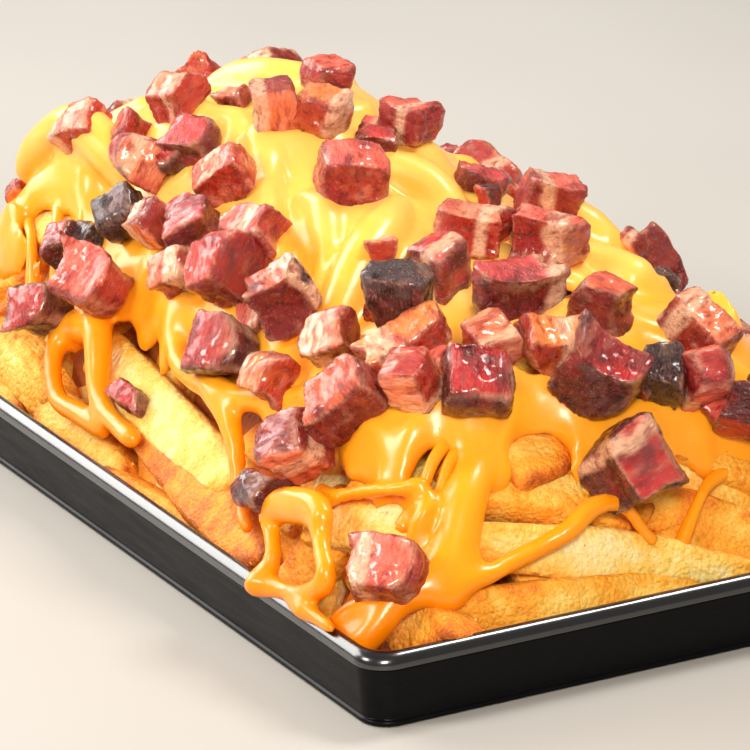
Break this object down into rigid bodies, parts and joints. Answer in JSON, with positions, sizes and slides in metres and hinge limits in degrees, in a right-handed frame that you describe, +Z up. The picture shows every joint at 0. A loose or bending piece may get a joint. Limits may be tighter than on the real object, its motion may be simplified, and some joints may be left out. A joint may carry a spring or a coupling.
{
  "type": "loaded cheese fries on a tray",
  "caption": "Long heap of thick-cut fries in a shallow black rectangular tray, under poured cheese sauce with cubes of browned bacon.",
  "frame": {"origin": "on the table under the middle of the tray", "axes": "+X along the tray's long sides, +Y across it, +Z up"},
  "size_m": [0.33, 0.19, 0.1176],
  "materials": {
    "tray": "glossy black melamine, lightly scuffed on its sides",
    "fries": "fried potato, pale gold with browned edges and a fine crisp skin",
    "cheese_sauce": "smooth glossy yellow-orange cheese sauce",
    "bacon": "browned cured meat, pink to dark red with charred edges and pale fat, greasy sheen"
  },
  "bodies": {
    "root": {"tray": "tray", "fries": "fries", "cheese_sauce": "cheese_sauce", "bacon_01": "bacon", "bacon_02": "bacon", "bacon_03": "bacon", "bacon_04": "bacon", "bacon_05": "bacon", "bacon_06": "bacon", "bacon_07": "bacon", "bacon_08": "bacon", "bacon_09": "bacon", "bacon_10": "bacon", "bacon_11": "bacon", "bacon_12": "bacon", "bacon_13": "bacon", "bacon_14": "bacon", "bacon_15": "bacon", "bacon_16": "bacon", "bacon_17": "bacon", "bacon_18": "bacon", "bacon_19": "bacon", "bacon_20": "bacon", "bacon_21": "bacon", "bacon_22": "bacon", "bacon_23": "bacon", "bacon_24": "bacon", "bacon_25": "bacon", "bacon_26": "bacon", "bacon_27": "bacon", "bacon_28": "bacon", "bacon_29": "bacon", "bacon_30": "bacon", "bacon_31": "bacon", "bacon_32": "bacon", "bacon_33": "bacon", "bacon_34": "bacon", "bacon_35": "bacon", "bacon_36": "bacon", "bacon_37": "bacon", "bacon_38": "bacon", "bacon_39": "bacon", "bacon_40": "bacon", "bacon_41": "bacon", "bacon_42": "bacon", "bacon_43": "bacon", "bacon_44": "bacon", "bacon_45": "bacon", "bacon_46": "bacon", "bacon_47": "bacon", "bacon_48": "bacon", "bacon_49": "bacon", "bacon_50": "bacon", "bacon_51": "bacon", "bacon_52": "bacon", "bacon_53": "bacon", "bacon_54": "bacon", "bacon_55": "bacon", "bacon_56": "bacon", "bacon_57": "bacon"}
  },
  "joints": []
}
